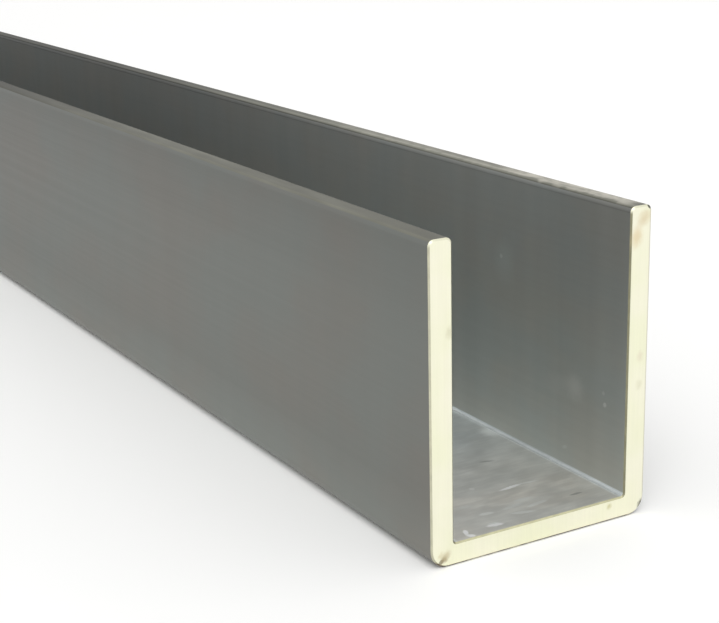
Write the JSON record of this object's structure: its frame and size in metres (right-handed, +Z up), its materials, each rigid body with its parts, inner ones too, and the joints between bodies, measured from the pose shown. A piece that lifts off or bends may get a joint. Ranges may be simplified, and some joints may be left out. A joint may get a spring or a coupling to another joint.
{
  "type": "aluminium u channel",
  "caption": "Plain aluminium U channel, extruded in one piece with rounded outer corners and lips, and sawn square to a stock length.",
  "frame": {"origin": "centre of the web's underside, halfway along the length", "axes": "+X along the length towards the sawn end that the picture shows, +Y across the web, +Z up the legs towards the open side"},
  "size_m": [1, 0.04, 0.05],
  "materials": {
    "aluminium": "mill finish as extruded, satin along the length, sawn ends bare and matte"
  },
  "bodies": {
    "root": {"u_channel": "aluminium"}
  },
  "joints": []
}
